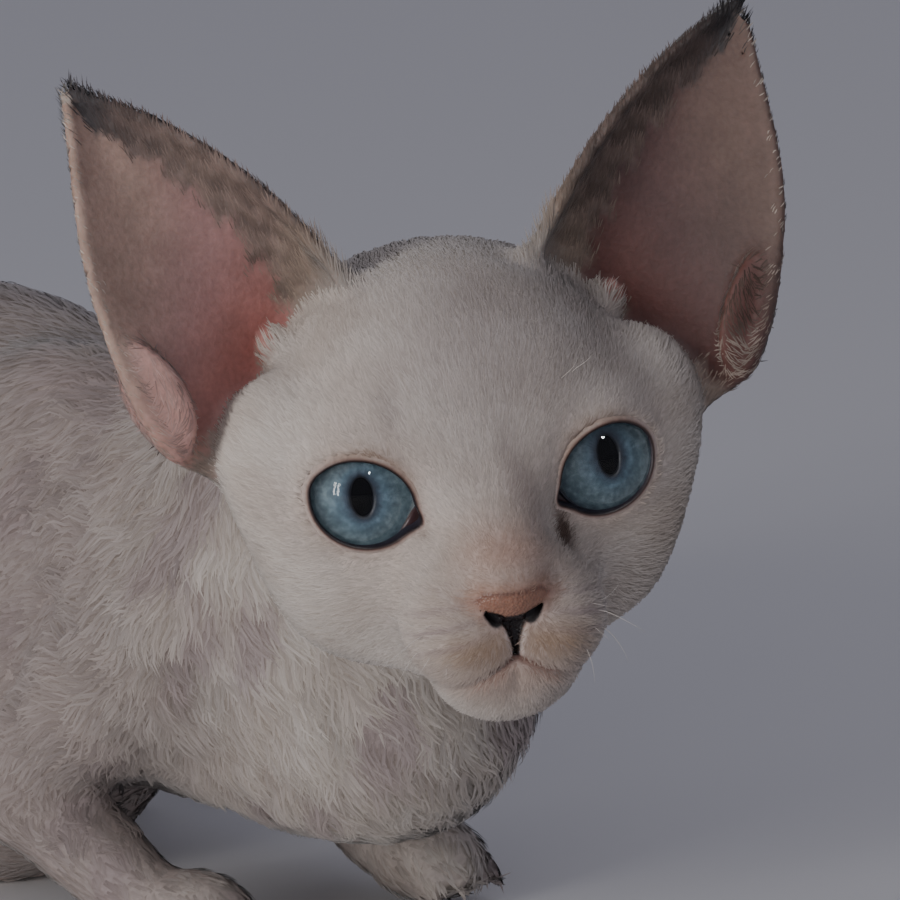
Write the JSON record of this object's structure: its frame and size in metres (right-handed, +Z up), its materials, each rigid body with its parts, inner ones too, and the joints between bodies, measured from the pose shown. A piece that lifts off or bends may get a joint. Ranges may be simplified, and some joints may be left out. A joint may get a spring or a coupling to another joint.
{
  "type": "devon rex kitten",
  "caption": "Still life-size model of a young Devon Rex cat lying low with its head turned to its right, resting on its paws and belly.",
  "frame": {"origin": "on the floor under the middle of the whole model's box", "axes": "+Z up from the floor; -Y the way the body faces, so +Y towards the rump; +X the animal's left"},
  "size_m": [0.1372, 0.2838, 0.1513],
  "materials": {
    "coat": "short soft curly fur, cream white with grey shading",
    "ear_skin": "thin bare skin inside the ears, pink to tan",
    "nose_leather": "moist pink skin",
    "eye": "wet glossy eyeball with a blue iris"
  },
  "bodies": {
    "root": {"head": "coat", "neck": "coat", "brisket": "coat", "ribs": "coat", "abdomen": "coat", "rump": "coat", "eye_left": "eye", "ear_left": "ear_skin", "upper_arm_left": "coat", "forearm_left": "coat", "forepaw_left": "coat", "thigh_left": "coat", "shank_left": "coat", "hindpaw_left": "coat", "eye_right": "eye", "ear_right": "ear_skin", "upper_arm_right": "coat", "forearm_right": "coat", "forepaw_right": "coat", "thigh_right": "coat", "shank_right": "coat", "hindpaw_right": "coat", "nose": "nose_leather", "tail_1": "coat", "tail_2": "coat", "tail_3": "coat", "tail_4": "coat", "tail_5": "coat"}
  },
  "joints": []
}
